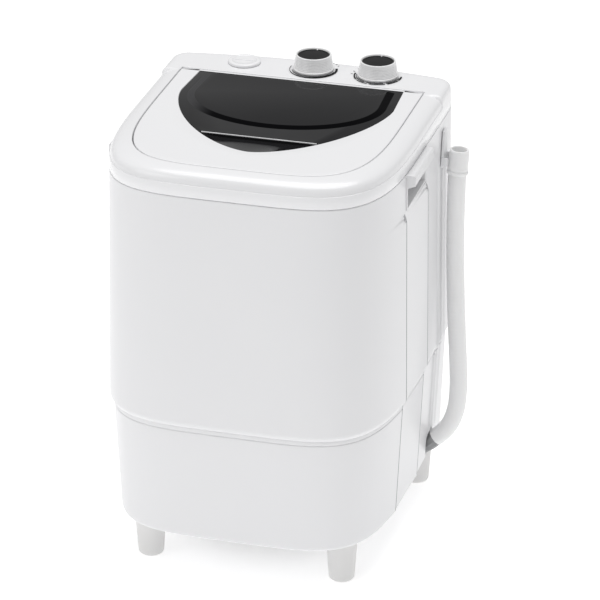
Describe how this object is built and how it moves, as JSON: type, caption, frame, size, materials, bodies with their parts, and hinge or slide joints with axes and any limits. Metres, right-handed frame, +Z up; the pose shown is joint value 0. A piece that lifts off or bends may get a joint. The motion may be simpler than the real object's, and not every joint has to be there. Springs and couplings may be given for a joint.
{
  "type": "top load washing machine",
  "caption": "Compact top load washing machine with a hinged lid and smoked window, control knobs, belt-driven pulsator, tapered legs and a drain hose.",
  "frame": {"origin": "on the floor, under the middle of the machine's own box, hose left out", "axes": "+Z up, -Y towards the front, +X towards the side that carries the drain hose"},
  "size_m": [0.4114, 0.3964, 0.5664],
  "materials": {
    "housing_white": "moulded, satin gloss",
    "handle_white": "moulded, satin",
    "leg_white": "moulded, satin",
    "smoked_window": "smoked, polished",
    "knob_white": "moulded, fine ribs",
    "control_black": "polished black",
    "inner_plastic": "moulded",
    "tub_white": "moulded polypropylene",
    "pulsator_plastic": "moulded polypropylene",
    "steel": "turned",
    "black_rubber": "moulded",
    "bearing_metal": "cast",
    "zinc_plate": "zinc coated",
    "motor_paint": "painted",
    "pulley_metal": "turned",
    "hose_plastic": "flexible, slightly translucent"
  },
  "bodies": {
    "root": {"upper_housing": "housing_white", "base_shell": "housing_white", "leg_front_left": "leg_white", "leg_front_right": "leg_white", "leg_rear_left": "leg_white", "leg_rear_right": "leg_white", "top_frame": "housing_white", "side_handle_left": "handle_white", "side_handle_right": "handle_white", "wash_timer_dial": "control_black", "wash_timer_body": "inner_plastic", "drain_selector_dial": "control_black", "drain_selector_body": "inner_plastic", "inlet_spout": "inner_plastic", "wash_tub": "tub_white", "drain_filter_cover": "inner_plastic", "shaft_seal": "black_rubber", "bearing_housing": "bearing_metal", "drive_belt": "black_rubber", "motor_plate": "zinc_plate", "motor": "motor_paint", "motor_capacitor": "inner_plastic", "drain_valve": "inner_plastic", "outlet_pipe": "inner_plastic", "drain_hose": "hose_plastic", "hose_cuff": "hose_plastic", "hose_hanger": "handle_white", "rear_panel": "housing_white", "rear_panel_screw_1": "steel", "rear_panel_screw_2": "steel", "rear_panel_screw_3": "steel", "rear_panel_screw_4": "steel", "rear_panel_screw_5": "steel", "rear_panel_screw_6": "steel", "cord_gland": "black_rubber"},
    "lid": {"lid_frame": "housing_white", "lid_window": "smoked_window", "lid_hinge_pin_left": "steel", "lid_hinge_pin_right": "steel"},
    "wash_timer_control": {"wash_timer_knob": "knob_white", "wash_timer_knob_cap": "control_black", "wash_timer_shaft": "steel"},
    "drain_selector_control": {"drain_selector_knob": "knob_white", "drain_selector_knob_cap": "control_black", "drain_selector_shaft": "steel"},
    "inlet_cover": {"inlet_cap": "housing_white"},
    "pulsator_drive": {"pulsator": "pulsator_plastic", "pulsator_screw": "steel", "pulsator_shaft": "steel", "driven_pulley": "pulley_metal"},
    "motor_drive": {"motor_shaft": "steel", "motor_pulley": "pulley_metal"}
  },
  "joints": [
    {"name": "lid_hinge", "type": "hinge", "parent": "root", "child": "lid", "pos_m": [0, 0.1206, 0.5385], "axis": [-1, 0, 0], "range_deg": [0, 85]},
    {"name": "wash_timer_turn", "type": "hinge", "parent": "root", "child": "wash_timer_control", "pos_m": [0.005, 0.162, 0.55], "axis": [0, 0, -1], "range_deg": [0, 300]},
    {"name": "drain_selector_turn", "type": "hinge", "parent": "root", "child": "drain_selector_control", "pos_m": [0.087, 0.162, 0.55], "axis": [0, 0, -1], "range_deg": [0, 90]},
    {"name": "inlet_cap_lift", "type": "slide", "parent": "root", "child": "inlet_cover", "axis": [0, 0, 1], "range_m": [0, 0.03]},
    {"name": "pulsator_spin", "type": "hinge", "parent": "root", "child": "pulsator_drive", "pos_m": [0, -0.021, 0.12], "axis": [0, 0, 1], "continuous": true},
    {"name": "motor_spin", "type": "hinge", "parent": "root", "child": "motor_drive", "pos_m": [-0.072, 0.084, 0.12], "axis": [0, 0, 1], "continuous": true}
  ],
  "couplings": [
    {"joint": "motor_spin", "follows": "pulsator_spin", "ratio": 3.2989}
  ]
}
